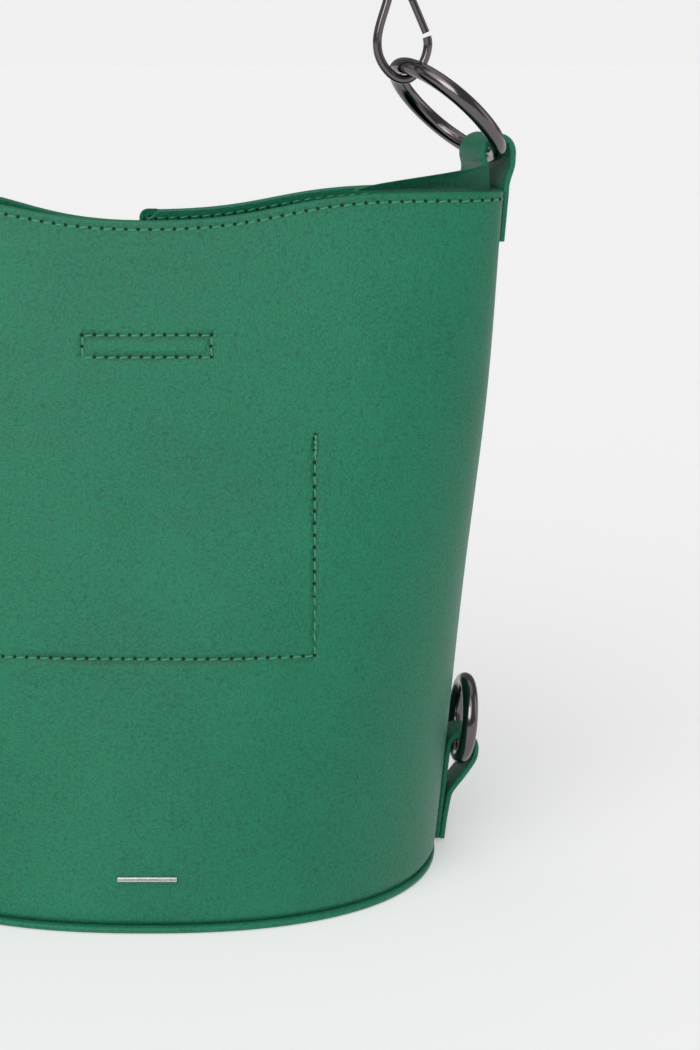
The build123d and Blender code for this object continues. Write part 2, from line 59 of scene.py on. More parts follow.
def smooth(t):  # smoothstep: 3t^2 - 2t^3 with t held between 0 and 1
    t = np.clip(t, 0, 1)
    return t * t * (3 - 2 * t)


# a smooth mesh from arrays of corners and four-sided faces
def makeMesh(name, points, quads, materials=()):
    mesh = bpy.data.meshes.new(name)
    quads = np.asarray(quads, np.int32)
    mesh.vertices.add(len(points))
    mesh.vertices.foreach_set("co", np.asarray(points, np.float32).ravel())
    mesh.loops.add(quads.size)
    mesh.loops.foreach_set("vertex_index", quads.ravel())
    mesh.polygons.add(len(quads))
    mesh.polygons.foreach_set("loop_start", np.arange(0, quads.size, 4, dtype=np.int32))
    mesh.polygons.foreach_set("use_smooth", np.ones(len(quads), bool))
    for m in materials:
        mesh.materials.append(m)
    mesh.update(calc_edges=True)
    mesh.validate()
    obj = bpy.data.objects.new(name, mesh)
    bpy.context.scene.collection.objects.link(obj)
    return obj


# face (i, j) joins points (i, j), (i, j+1), (i+1, j+1), (i+1, j)
def gridQuads(rows, cols, closeRows, closeCols):
    i, j = np.meshgrid(np.arange(rows if closeRows else rows - 1),
                       np.arange(cols if closeCols else cols - 1), indexing="ij")
    nextI, nextJ = (i + 1) % rows, (j + 1) % cols
    return np.stack([i * cols + j, i * cols + nextJ, nextI * cols + nextJ, nextI * cols + j],
                    -1).reshape(-1, 4)


# turns the whole mesh over if its signed volume, a sum of p . (q x r) / 6, is negative
def faceOutward(obj):
    mesh = obj.data
    co = np.empty(len(mesh.vertices) * 3)
    mesh.vertices.foreach_get("co", co)
    co = co.reshape(-1, 3)
    mesh.calc_loop_triangles()
    tri = np.empty(len(mesh.loop_triangles) * 3, np.int32)
    mesh.loop_triangles.foreach_get("vertices", tri)
    p, q, r = co[tri.reshape(-1, 3)].transpose(1, 0, 2)
    if np.einsum("ij,ij->i", p, np.cross(q, r)).sum() < 0:
        mesh.flip_normals()
    return obj


def pointAttribute(obj, name, values):  # one number kept at each point, for a material to read
    obj.data.attributes.new(name, "FLOAT", "POINT").data.foreach_set("value",
            np.asarray(values, np.float32).ravel())


# ---- materials ----

def newMaterial(name):
    material = bpy.data.materials.new(name)
    material.use_nodes = True
    tree = material.node_tree
    tree.nodes.clear()
    return material, tree


# adds a node, sets its values, then joins (socket of this node, from output)
def addNode(tree, kind, links=(), **values):
    node = tree.nodes.new(kind)
    for key, value in values.items():
        if hasattr(node, key):
            setattr(node, key, value)
        else:
            node.inputs[key.replace("_", " ")].default_value = value
    for socket, output in links:
        tree.links.new(output, node.inputs[socket])
    return node


def mathNode(tree, operation, a, b=None):  # one Math node; a and b are sockets or numbers
    node = tree.nodes.new("ShaderNodeMath")
    node.operation = operation
    for i, value in enumerate((a, b)):
        if value is None:
            continue
        if isinstance(value, (int, float)):
            node.inputs[i].default_value = value
        else:
            tree.links.new(value, node.inputs[i])
    return node.outputs[0]


leatherLook = {
    "colour": "#197C5B",        # the dye, seen in flat light
    "valleyShade": "#115A41",         # painted shade: the colour in the grain's valleys
    "roughness": 0.43,
    "pebbleMm": 0.95,            # size of a pebble of the embossed grain
    "fineMm": 0.4,              # finer creases inside a pebble
    "warpMm": 0.5,              # how far the pebbles are pulled out of round
    "pebbleDepthMm": 0.2,
    "sheen": 0.05,
}


# height = 1.1 fine noise - 0.75 distance to the pebble middle; the colour goes to its painted shade as the
# pebble falls away, with random mottle on top
def leatherMaterial(name, look, seams=False):
    material, tree = newMaterial(name)
    coords = addNode(tree, "ShaderNodeTexCoord").outputs["Object"]
    bend = addNode(tree, "ShaderNodeTexNoise", [("Vector", coords)], Scale=700 / look["pebbleMm"],
                   Detail=1.0)
    pull = addNode(tree, "ShaderNodeVectorMath", [(0, bend.outputs["Color"])], operation="SCALE")
    pull.inputs["Scale"].default_value = look["warpMm"] * mm * 4
    warped = addNode(tree, "ShaderNodeVectorMath", [(0, coords), (1, pull.outputs[0])], operation="ADD")
    pebble = addNode(tree, "ShaderNodeTexVoronoi", [("Vector", warped.outputs[0])], feature="SMOOTH_F1",
                     Scale=1000 / look["pebbleMm"], Smoothness=0.35)
    fine = addNode(tree, "ShaderNodeTexNoise", [("Vector", coords)], Scale=1000 / look["fineMm"],
                   Detail=3.0)
    mottle = addNode(tree, "ShaderNodeTexNoise", [("Vector", coords)], Scale=22.0, Detail=3.0)
    height = mathNode(tree, "ADD", mathNode(tree, "MULTIPLY", pebble.outputs["Distance"], -0.75),
                      mathNode(tree, "MULTIPLY", fine.outputs["Fac"], 1.1))
    depth = height
    if seams:  # a soft groove pressed along each stitched line
        groove = addNode(tree, "ShaderNodeAttribute", attribute_name="groove").outputs["Fac"]
        depth = mathNode(tree, "SUBTRACT", height, mathNode(tree, "MULTIPLY", groove, 3.0))
    bump = addNode(tree, "ShaderNodeBump", [("Height", depth)], Strength=0.85,
                   Distance=look["pebbleDepthMm"] * mm)
    # painted shade in the grain's valleys, plus random mottle
    ramp = mathNode(tree, "ADD", mathNode(tree, "MULTIPLY",
                                          mathNode(tree, "SUBTRACT", pebble.outputs["Distance"], 0.3), 1.0),
                    mathNode(tree, "MULTIPLY", mathNode(tree, "SUBTRACT", 0.58, fine.outputs["Fac"]), 1.6))
    shadeAndMottle = mathNode(tree, "ADD", ramp, mathNode(tree, "MULTIPLY",
                                                mathNode(tree, "SUBTRACT", mottle.outputs["Fac"], 0.5),
                                                        0.55))
    if seams:  # and painted shade makes the groove darker
        shadeAndMottle = mathNode(tree, "ADD", shadeAndMottle, mathNode(tree, "MULTIPLY", groove, 0.9))
    clamped = mathNode(tree, "MINIMUM", mathNode(tree, "MAXIMUM", shadeAndMottle, 0.0), 1.0)
    colour = addNode(tree, "ShaderNodeMix", [("Factor", clamped)], data_type="RGBA")
    colour.inputs["A"].default_value = hexColour(look["colour"])
    colour.inputs["B"].default_value = hexColour(look["valleyShade"])
    rough = mathNode(tree, "ADD", look["roughness"],
                     mathNode(tree, "MULTIPLY", mathNode(tree, "SUBTRACT", fine.outputs["Fac"], 0.5), 0.16))
    shader = addNode(tree, "ShaderNodeBsdfPrincipled",
                     [("Normal", bump.outputs["Normal"]), ("Roughness", rough)],
                     Sheen_Weight=look["sheen"], Sheen_Roughness=0.5,
                     Specular_IOR_Level=0.32)
    tree.links.new(colour.outputs["Result"], shader.inputs["Base Color"])
    addNode(tree, "ShaderNodeOutputMaterial", [("Surface", shader.outputs["BSDF"])])
    return material


leather = leatherMaterial("pebbledLeather", leatherLook)
leatherSewn = leatherMaterial("pebbledLeatherSewn", leatherLook, seams=True)
leatherInside = leatherMaterial("leatherInside", dict(leatherLook, colour="#12573B", valleyShade="#0C3F2A",
                                                      roughness=0.75, sheen=0.05))
edgePaint = leatherMaterial("edgePaint", dict(leatherLook, colour="#1A7350", valleyShade="#166546",
                                              roughness=0.38, pebbleDepthMm=0.01, sheen=0.0))

threadLook = {"colour": "#2A9169", "roughness": 0.38, "plyMm": 0.35}


# fine noise as bump gives the twist of the thread
def threadMaterial(name, look):
    material, tree = newMaterial(name)
    coords = addNode(tree, "ShaderNodeTexCoord").outputs["Object"]
    ply = addNode(tree, "ShaderNodeTexNoise", [("Vector", coords)], Scale=1000 / look["plyMm"], Detail=2.0)
    bump = addNode(tree, "ShaderNodeBump", [("Height", ply.outputs["Fac"])], Strength=0.5,
                   Distance=0.08 * mm)
    shader = addNode(tree, "ShaderNodeBsdfPrincipled", [("Normal", bump.outputs["Normal"])],
                     Roughness=look["roughness"], Base_Color=hexColour(look["colour"]), Sheen_Weight=0.2)
    addNode(tree, "ShaderNodeOutputMaterial", [("Surface", shader.outputs["BSDF"])])
    return material


thread = threadMaterial("polyesterThread", threadLook)
# painted shade: dark discs stand in for the shade inside the needle holes
needleHoleShade = leatherMaterial("needleHoleShade", dict(leatherLook, colour="#0B2E20", valleyShade="#071F15",
                                                roughness=0.9, sheen=0.0))


def metalMaterial(name, colour, roughness, wearMm, bumpMm):  # plated metal with faint polishing marks
    material, tree = newMaterial(name)
    coords = addNode(tree, "ShaderNodeTexCoord").outputs["Object"]
    marks = addNode(tree, "ShaderNodeTexNoise", [("Vector", coords)], Scale=1000 / wearMm, Detail=4.0)
    rough = mathNode(tree, "ADD", roughness, mathNode(tree, "MULTIPLY",
                                                      mathNode(tree, "SUBTRACT", marks.outputs["Fac"],
                                                               0.5), roughness * 0.9))
    bump = addNode(tree, "ShaderNodeBump", [("Height", marks.outputs["Fac"])], Strength=0.25,
                   Distance=bumpMm * mm)
    shader = addNode(tree, "ShaderNodeBsdfPrincipled",
                     [("Normal", bump.outputs["Normal"]), ("Roughness", rough)],
                     Base_Color=hexColour(colour), Metallic=1.0)
    addNode(tree, "ShaderNodeOutputMaterial", [("Surface", shader.outputs["BSDF"])])
    return material


blackNickel = metalMaterial("blackNickel", "#6B6568", 0.12, 3.0, 0.004)
satinNickel = metalMaterial("satinNickel", "#D9D9DA", 0.27, 1.2, 0.01)
springSteel = metalMaterial("springSteel", "#9A9A9C", 0.3, 1.0, 0.01)
fibreBoard = leatherMaterial("fibreBoard", dict(leatherLook, colour="#1B1D1C", valleyShade="#101110",
                                                roughness=0.8, pebbleMm=1.6, sheen=0.0))
liningCloth = leatherMaterial("liningCloth", dict(leatherLook, colour="#14503A", valleyShade="#0E3C2B",
                                                  roughness=0.85, pebbleMm=0.5, sheen=0.3))
print("materials made")

# ---- the wall, as one formula that everything sewn to it shares ----

body = {
    "rimSide": 241.0, "rimMiddle": 232.0, "baseHalfWidth": 107.0, "baseHalfDepth": 82.0,
    "mouthHalfWidth": 122.5, "mouthHalfDepth": 22.0, "baseRoundness": 2.3, "mouthRoundness": 4.0,
    "wall": 2.2, "foot": 2.6, "level": 90.65, "sag": 0.55, "lapDrop": 4.0,
}


# middle height plus the rise times smoothstep of t, where x follows the curve 1.5 L t (1 - t) + L t^3
def rimHeight(x, backLeft=False):
    t = np.linspace(0, 1, 400)
    along = 1.5 * body["level"] * ((1 - t) ** 2 * t + (1 - t) * t * t) + body["level"] * t ** 3
    middle = body["rimMiddle"] - body["lapDrop"] * np.asarray(backLeft)  # the back's left half is cut lower
    return middle + (body["rimSide"] - middle) * smooth(np.interp(np.abs(x), along, t))


# superellipse: x = w |cos a|^(2/n), y = d |sin a|^(2/n), with w, d and n sliding with height
def wallPoint(angle, z, inset):
    s = z / body["rimSide"]
    w = body["baseHalfWidth"] + (body["mouthHalfWidth"] - body["baseHalfWidth"]) * (1.25 * s - 0.25 * s
            * s) - inset
    d = body["baseHalfDepth"] + (body["mouthHalfDepth"] - body["baseHalfDepth"]) * s - inset
    power = 2 / (body["baseRoundness"] + (body["mouthRoundness"] - body["baseRoundness"]) * s * s)
    c, n = np.cos(angle), np.sin(angle)
    return w * np.sign(c) * np.abs(c) ** power, d * np.sign(n) * np.abs(n) ** power


# angles at equal steps of arc length round the wall
def evenAngles(count, low=0.0, high=2 * math.pi, z=150.0):
    fine = np.linspace(low, high, 4001)
    x, y = wallPoint(fine, z, 0)
    run = np.concatenate([[0], np.cumsum(np.hypot(np.diff(x), np.diff(y)))])
    return np.interp(np.linspace(0, run[-1], count), run, fine)


def slump(x, y, z):  # soft hollows and swells, a sum of three slow sine waves, nil at the foot and the rim
    hold = np.sin(np.pi * np.clip(z / body["rimSide"], 0, 1)) ** 0.8
    wave = np.sin(x * 0.031 + 0.8) * np.sin(z * 0.026 + 0.4) + 0.6 * np.sin(x * 0.052 - z * 0.035
            + 2.1) + 0.4 * np.sin(y * 0.05 + z * 0.045)
    return body["sag"] * hold * wave


def angleAt(x, z, inset, front=True):  # the angle whose point has that x: cos a = (x / w)^(n / 2)
    s = z / body["rimSide"]
    w = body["baseHalfWidth"] + (body["mouthHalfWidth"] - body["baseHalfWidth"]) * (1.25 * s - 0.25 * s
            * s) - inset
    n = body["baseRoundness"] + (body["mouthRoundness"] - body["baseRoundness"]) * s * s
    a = np.arccos(np.clip(np.sign(x) * np.abs(x / w) ** (n / 2), -1, 1))
    return -a if front else a


# height 0 to 1 runs from the foot to the rim line over each point; edge adds mm above it
def onWall(angle, height, inset, edge=0.0):
    z = np.full(np.broadcast(angle, height).shape, 150.0)
    for _ in range(4):
        x, y = wallPoint(angle, z, inset)
        z = body["foot"] + (rimHeight(x, (x < 0) & (y > 0)) - body["foot"]) * height + edge
    x, y = wallPoint(angle, z, inset)
    push = slump(x, y, z)
    out = unit(np.stack([x / 120 ** 2, y / 55 ** 2], -1))
    return np.stack([x + out[..., 0] * push, y + out[..., 1] * push, z], -1)


print("wall formula ready")

# ---- body panel: one wrapped sheet, outside, over the rim, inside, and closed at the foot ----

bodyPanel = {"columns": 420, "rows": 110, "rimRadiusMm": 0.75, "footTuckMm": 1.3}


# path across the leather: up the outside, a half circle over the edge, down the inside
def wallProfile(look, inset, thick, rows, low=0.0):
    up = np.linspace(low, 1, rows)
    turn = np.linspace(0, math.pi, 9)[1:-1]
    half = thick / 2
    depth = np.concatenate([np.full(rows, inset), inset + half - half * np.cos(turn),
                            np.full(rows, inset + thick)])
    height = np.concatenate([up, np.ones(len(turn)), up[::-1]])
    edge = np.concatenate([np.zeros(rows), look["rimRadiusMm"] * np.sin(turn), np.zeros(rows)])
    edge = edge - look["rimRadiusMm"] * np.concatenate([np.zeros(rows - 1), [1.0], np.ones(len(turn)),
                                                        [1.0], np.zeros(rows - 1)])
    return depth, height, edge


# each point lies on the wall at its angle, and is tucked in by t exp(-(z - foot) / 1.1) at the foot
def bodyGrid(look, angles, depth, height, edge):
    a, d = np.meshgrid(angles, depth)
    _, h = np.meshgrid(angles, height)
    _, e = np.meshgrid(angles, edge)
    points = onWall(a, h, d, e)
    tuck = look["footTuckMm"] * np.exp(-(points[..., 2] - body["foot"]) / 1.1)
    inward = unit(np.stack([points[..., 0] / 120 ** 2, points[..., 1] / 80 ** 2], -1))
    points[..., :2] -= inward * np.where(d < body["wall"] * 0.6, tuck, 0)[..., None]
    return points


# the grid of (angle round, place along the profile), with the sewn groove kept as an attribute for its bump
# and its painted shade
def makeBodyPanel(look):
    angles = evenAngles(look["columns"] + 1)[:-1]
    depth, height, edge = wallProfile(look, 0.0, body["wall"], look["rows"])
    points = bodyGrid(look, angles, depth, height, edge)
    rows, cols = points.shape[:2]
    obj = makeMesh("bodyPanel", points.reshape(-1, 3) * mm, gridQuads(rows, cols, True, True),
                   materials=[leatherSewn, leatherInside, edgePaint])
    row = np.repeat(np.arange(rows), cols)
    slot = np.where(row < look["rows"] - 1, 0, np.where(row < look["rows"] + 7, 2, 1))
    obj.data.polygons.foreach_set("material_index", slot.astype(np.int32))
    flat = points.reshape(-1, 3)
    pointAttribute(obj, "groove", seamGroove(flat) * (np.repeat(depth, cols) < 0.5))
    return faceOutward(obj)


def seamGroove(p):  # exp(-(distance to the nearest stitched line / 0.8 mm)^2)
    below = rimHeight(p[:, 0], (p[:, 0] < 0) & (p[:, 1] > 0)) - p[:, 2]
    near = np.abs(below - stitching["rimMm"])
    front = p[:, 1] < 0
    x, z = p[:, 0], p[:, 2]
    pocketSide = np.abs(np.abs(x) - stitching["pocketHalfMm"]) + 50 * ((z > stitching["pocketTopMm"])
            | (z < stitching["pocketFootMm"]))
    pocketFoot = np.abs(z - stitching["pocketFootMm"]) + 50 * (np.abs(x) > stitching["pocketHalfMm"])
    toLine = np.minimum(np.abs(z - stitching["patchLowMm"]), np.abs(z - stitching["patchHighMm"]))
    patchLevel = toLine + 50 * (np.abs(x) > stitching["patchHalfMm"])
    patchEnd = np.abs(np.abs(x) - stitching["patchHalfMm"]) + 50 * ((z > stitching["patchHighMm"])
            | (z < stitching["patchLowMm"]))
    onFront = np.minimum(np.minimum(pocketSide, pocketFoot), np.minimum(patchLevel, patchEnd))
    near = np.minimum(near, np.where(front, onFront, 99))
    return np.exp(-(near / 0.8) ** 2)


stitching = {
    "pitchMm": 4.05, "lengthMm": 2.9, "threadMm": 0.62, "holeMm": 0.62, "slantDeg": 7, "rimMm": 3.0,
    "pocketHalfMm": 56.5, "pocketTopMm": 161.0, "pocketFootMm": 89.5,
    "patchHalfMm": 21.6, "patchLowMm": 187.6, "patchHighMm": 194.8,
}
panel = makeBodyPanel(bodyPanel)
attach(panel, "bag")
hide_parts("body_panel")
print("body panel made")

# ---- the lap of the back seam: the sheet's right end lies over its left end ----


def bandOnWall(name, x0, x1, z0, z1, inset, thick, round_, columns, rows, materials, front=True):
    # a thin panel that follows the wall: a rounded rectangle in (x, z), its edge turned over by a half
    # circle

    u = np.linspace(-1, 1, columns)
    v = np.sin(np.linspace(-1, 1, rows) * math.pi / 2)  # closer rows near both ends
    uu, vv = np.meshgrid(u, v)
    halfX, halfZ = (x1 - x0) / 2, (z1 - z0) / 2
    r = min(round_, halfX * 0.999, halfZ * 0.999)
    # a corner point is drawn in to the corner's circle: p = c + (q - c) * r / |q - c|, by the larger
    # side
    x, z = uu * halfX, vv * halfZ
    cx, cz = np.abs(x) - (halfX - r), np.abs(z) - (halfZ - r)
    inCorner = (cx > 0) & (cz > 0)
    reach = np.maximum(np.hypot(cx, cz), 1e-9)
    scale = np.where(inCorner, np.maximum(cx, cz) / reach, 1)
    x = np.where(inCorner, np.sign(x) * (halfX - r + cx * scale), x) + (x0 + x1) / 2
    z = np.where(inCorner, np.sign(z) * (halfZ - r + cz * scale), z) + (z0 + z1) / 2
    rim = np.zeros(x.shape, bool)
    rim[0], rim[-1], rim[:, 0], rim[:, -1] = True, True, True, True
    layers = []
    for side in (0, 1):
        offset = np.where(rim, inset + thick / 2, inset + thick * side)
        a = angleAt(x, z, offset, front)
        px, py = wallPoint(a, z, offset)
        push = slump(px, py, z)
        py = py + np.sign(py) * push * 0.98
        layers.append(np.stack([px, py, z], -1))
    count = rows * columns
    top = gridQuads(rows, columns, False, False)
    points = np.concatenate([layers[0].reshape(-1, 3), layers[1].reshape(-1, 3)])
    obj = makeMesh(name, points * mm, np.concatenate([top, (top + count)[:, ::-1]]), materials=materials)
    mergeClose(obj)
    return faceOutward(obj)


def mergeClose(obj, gap=1e-6):  # joins points that lie on each other, and turns the normals the same way
    work = bmesh.new()
    work.from_mesh(obj.data)
    bmesh.ops.remove_doubles(work, verts=work.verts, dist=gap)
    bmesh.ops.recalc_face_normals(work, faces=work.faces)
    work.to_mesh(obj.data)
    work.free()
    return obj


lap = {"leftMm": -2.8, "widthMm": 9.0, "raiseMm": 0.0, "cornerMm": 3.2}


# a strip of the wall formula, one wall thickness outside the wall
def makeLap(look):
    top = body["rimMiddle"] + look["raiseMm"]
    obj = bandOnWall("backLap", look["leftMm"], look["leftMm"] + look["widthMm"], body["foot"] + 0.3,
                     top, -body["wall"], body["wall"] - 0.1,
                     look["cornerMm"], 24, 140, [leather], front=False)
    return obj


lapPiece = makeLap(lap)
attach(lapPiece, "bag")

# ---- rim facing, pocket, patches: leather sewn to the inside ----

facing = {"depthMm": 27.0, "thickMm": 1.2, "gapMm": 0.3, "rimRadiusMm": 0.45, "rows": 14, "footTuckMm": 0.0}


# the same grid as the body panel, one gap and one wall further in, with its edge 0.35 mm lower
def makeFacing(look):
    angles = evenAngles(bodyPanel["columns"] + 1)[:-1]
    depth, height, edge = wallProfile(look, body["wall"] + look["gapMm"], look["thickMm"],
                                      look["rows"], low=1 - look["depthMm"] / body["rimSide"])
    points = bodyGrid(look, angles, depth, height, edge)
    points[..., 2] -= 0.35
    rows, cols = points.shape[:2]
    return faceOutward(makeMesh("rimFacing", points.reshape(-1, 3) * mm,
                                gridQuads(rows, cols, True, True), materials=[leather]))


facingPiece = makeFacing(facing)
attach(facingPiece, "bag")
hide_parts("rim_facing")

sewnIn = {"gapMm": 0.3, "liningMm": 1.2, "patchMm": 1.5}
inner = body["wall"] + sewnIn["gapMm"]
pocketPiece = bandOnWall("slipPocket", -56.5, 56.5, 89, 161, inner, sewnIn["liningMm"], 3, 60, 40,
                         [liningCloth])
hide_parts("front_pocket")
patchPiece = bandOnWall("closurePatch", -23, 23, 186, 196, inner, sewnIn["patchMm"], 2.5, 40, 14, [leather])
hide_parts("closure_patch")
magnetPatchPiece = bandOnWall("magnetPatch", -14, 14, 172, 200, inner, sewnIn["patchMm"], 6, 30, 30,
                              [leather], front=False)
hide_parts("magnet_patch")
for piece, slotName in ((pocketPiece, "lining"), (patchPiece, "green_leather"),
                        (magnetPatchPiece, "green_leather")):
    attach(piece, "bag")
print("inside pieces made")

# ---- base panel: a disc with a rounded edge that stands just proud of the wall ----

base = {"thickMm": 2.3, "proudMm": 0.4, "columns": 420, "rings": 14}


# rings from the middle out, round the edge by a half circle, and back under to the middle
def makeBase(look):
    angles = evenAngles(look["columns"] + 1, z=0.0)[:-1]
    t = look["thickMm"]
    across = np.linspace(0.02, 1, look["rings"])
    turn = np.linspace(0, math.pi, 11)[1:-1]
    share = np.concatenate([across, np.ones(len(turn)), across[::-1]])
    out = np.concatenate([np.zeros(len(across)), np.sin(turn) * t / 2,
                          np.zeros(len(across))]) + look["proudMm"] - t / 2
    z = np.concatenate([np.full(len(across), t), t / 2 + np.cos(turn) * t / 2, np.zeros(len(across))])
    a, s = np.meshgrid(angles, share)
    x, y = wallPoint(a, np.zeros(a.shape), 0.0)
    normal = unit(np.stack([x / body["baseHalfWidth"] ** 2, y / body["baseHalfDepth"] ** 2], -1))
    points = np.stack([x * s + normal[..., 0] * out[:, None] * s,
                       y * s + normal[..., 1] * out[:, None] * s, np.broadcast_to(z[:, None], x.shape)], -1)
    rows, cols = points.shape[:2]
    flat = np.concatenate([points.reshape(-1, 3), [[0, 0, t], [0, 0, 0]]])
    quads = gridQuads(rows, cols, False, True)
    obj = makeMesh("basePanel", flat * mm, quads, materials=[leather])
    closePoles(obj, rows, cols)
    return faceOutward(obj)


def closePoles(obj, rows, cols):  # fans the first and last rings to the two middle points
    work = bmesh.new()
    work.from_mesh(obj.data)
    work.verts.ensure_lookup_table()
    for ring, pole in ((0, rows * cols), ((rows - 1) * cols, rows * cols + 1)):
        for j in range(cols):
            face = work.faces.new((work.verts[ring + j], work.verts[ring + (j + 1) % cols],
                                   work.verts[pole]))
            face.smooth = True
    bmesh.ops.recalc_face_normals(work, faces=work.faces)
    work.to_mesh(obj.data)
    work.free()


basePiece = makeBase(base)
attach(basePiece, "bag")
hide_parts("base_panel")
print("base made")

# ---- bands: a rounded strip swept along a flat path, for tabs, flap and strap ----


# corner points of a rounded rectangle, counter-clockwise
def roundedSection(width, thick, radius, steps=4):
    points = []
    for cx, cy, start in ((1, 1, 0), (-1, 1, 90), (-1, -1, 180), (1, -1, 270)):
        for k in range(steps + 1):
            a = math.radians(start + 90 * k / steps)
            points.append((cx * (width / 2 - radius) + radius * math.cos(a),
                           cy * (thick / 2 - radius) + radius * math.sin(a)))
    return np.array(points)


def resample(path, step, closed=False):  # points at even steps along a path
    path = np.asarray(path, float)
    if closed:
        path = np.concatenate([path, path[:1]])
    run = np.concatenate([[0], np.cumsum(np.linalg.norm(np.diff(path, axis=0), axis=1))])
    count = max(int(run[-1] / step), 8)
    at = np.linspace(0, run[-1], count + 1)
    if closed:
        at = at[:-1]
    return np.stack([np.interp(at, run, path[:, k]) for k in range(path.shape[1])], 1)


# each point moves to (previous + 2 this + next) / 4, over and over, ends held
def softened(path, times, closed=False):
    path = np.array(path, float)
    for _ in range(times):
        if closed:
            path = (np.roll(path, 1, 0) + 2 * path + np.roll(path, -1, 0)) / 4
        else:
            path[1:-1] = (path[:-2] + 2 * path[1:-1] + path[2:]) / 4
    return path


def makeBand(name, path, origin, out, up, along, width, thick, radius, materials, closed=False, shift=None):
    # point = origin + out * px + up * py + along * a + (path normal) * b, for (a, b) round the section
    path = np.asarray(path, float)
    ahead = np.roll(path, -1, 0) - np.roll(path, 1, 0)
    if not closed:
        ahead[0], ahead[-1] = path[1] - path[0], path[-1] - path[-2]
    ahead = unit(ahead)
    normal = np.stack([-ahead[:, 1], ahead[:, 0]], 1)
    section = roundedSection(width, thick, radius)
    flat = path[:, None, :] + normal[:, None, :] * section[None, :, 1, None]
    side = np.broadcast_to(section[None, :, 0], flat.shape[:2])
    px = flat[..., 0] + (shift(side, flat[..., 1], path[:, None, 0]) if shift else 0)
    points = np.asarray(origin) + px[..., None] * np.asarray(out) + flat[..., 1,
            None] * np.asarray(up) + side[..., None] * np.asarray(along)
    rows, cols = points.shape[:2]
    obj = makeMesh(name, points.reshape(-1, 3) * mm, gridQuads(rows, cols, closed, True),
                   materials=materials)
    if not closed:
        capEnds(obj, rows, cols)
    return faceOutward(obj)


def capEnds(obj, rows, cols):  # closes both ends of an open band
    work = bmesh.new()
    work.from_mesh(obj.data)
    work.verts.ensure_lookup_table()
    for start in (0, (rows - 1) * cols):
        work.faces.new([work.verts[start + j] for j in range(cols)])
    bmesh.ops.recalc_face_normals(work, faces=work.faces)
    work.to_mesh(obj.data)
    work.free()


# ---- upper tabs: a leaf folded over each end of the mouth, round the ring's wire ----

upperTab = {"turnDeg": 16.0, "widthMm": 18.0, "thickMm": 2.2, "dropMm": 18.0,
            "pivotZ": 252.5, "pivotX": 118.725,
            "pivotY": 4.778, "hollowMm": 4.7, "hollowShiftMm": 0.95, "leanDeg": 42.0, "clearMm": 0.45}


# how far out the wall lies at that sideways place, read off the wall's formula
def wallAlongTab(look, side, z, inset):
    turn = math.radians(look["turnDeg"])
    angle = np.linspace(-1.2, 1.2, 600)
    shape = np.broadcast(side, z).shape
    levels = np.linspace(np.min(z), np.max(z), 7)
    table = []
    for level in levels:
        x, y = wallPoint(angle, np.full(angle.shape, level), inset)
        x, y = x - look["pivotX"], y - look["pivotY"]
        sideways = y * math.cos(turn) - x * math.sin(turn)
        table.append(np.interp(side.ravel(), sideways, x * math.cos(turn) + y * math.sin(turn)))
    table = np.array(table)
    if levels[-1] - levels[0] < 1e-6:
        return table[0].reshape(shape)
    place = (z.ravel() - levels[0]) / (levels[-1] - levels[0]) * (len(levels) - 1)
    low = np.clip(place.astype(int), 0, len(levels) - 2)
    part = place - low
    column = np.arange(len(place))
    return (table[low, column] * (1 - part) + table[low + 1, column] * part).reshape(shape)


# up the inside, round (cx + r cos a, cz + r sin a) from 200 to -20 degrees, down the outside
def makeUpperTab(look, side, name):
    turn, lean = math.radians(look["turnDeg"]), math.radians(look["leanDeg"])
    half = look["thickMm"] / 2
    centre = np.array([-look["hollowShiftMm"] * math.cos(lean),
                       look["pivotZ"] + look["hollowShiftMm"] * math.sin(lean)])
    radius = look["hollowMm"] + half
    zero = np.zeros(1)
    rim = body["rimSide"]
    inAt = float(wallAlongTab(look, zero, zero + rim, 3.7)[0]) - look["clearMm"] - half
    outAt = float(wallAlongTab(look, zero, zero + rim, 0.0)[0]) + look["clearMm"] + half
    arc = np.radians(np.linspace(200, -20, 30))
    path = [(inAt, rim - look["dropMm"] + 0.6), (inAt, rim - 6), (inAt, rim)]
    path += [(centre[0] + radius * math.cos(a), centre[1] + radius * math.sin(a)) for a in arc]
    path += [(outAt, rim), (outAt, rim - 6), (outAt, rim - look["dropMm"])]
    path = softened(resample(path, 0.6), 16)

    # below the rim each leaf follows its own face of the wall; above it the fold is straight
    def hug(sideways, z, pathX):
        level = np.minimum(z, rim)
        inner = wallAlongTab(look, sideways, level, np.full(1, 3.7)) - inAt - look["clearMm"] - half
        outer = wallAlongTab(look, sideways, level, np.zeros(1)) - outAt + look["clearMm"] + half
        mix = smooth((pathX - inAt) / (outAt - inAt))
        return (inner * (1 - mix) + outer * mix) * smooth((rim + 9 - z) / 9)

    out = (side * math.cos(turn), math.sin(turn), 0)
    along = (-side * math.sin(turn), math.cos(turn), 0)
    return makeBand(name, path, (side * look["pivotX"], look["pivotY"], 0), out, (0, 0, 1), along,
                    look["widthMm"], look["thickMm"], 0.7,
                    [leather], shift=hug)


for side, tag in ((1, "Right"), (-1, "Left")):
    tab = makeUpperTab(upperTab, side, "upperTab" + tag)
    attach(tab, "bag")
    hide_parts("upper_tab_" + tag.lower())
print("upper tabs made")

# ---- lower tabs: sewn down at the base, looped over the ring ----

lowerTab = {"widthMm": 14.0, "thickMm": 2.0, "pivotZ": 34.0, "hollowMm": 4.24, "stretchMm": 4.0,
            "nearMm": 0.45, "footMm": 32.5}


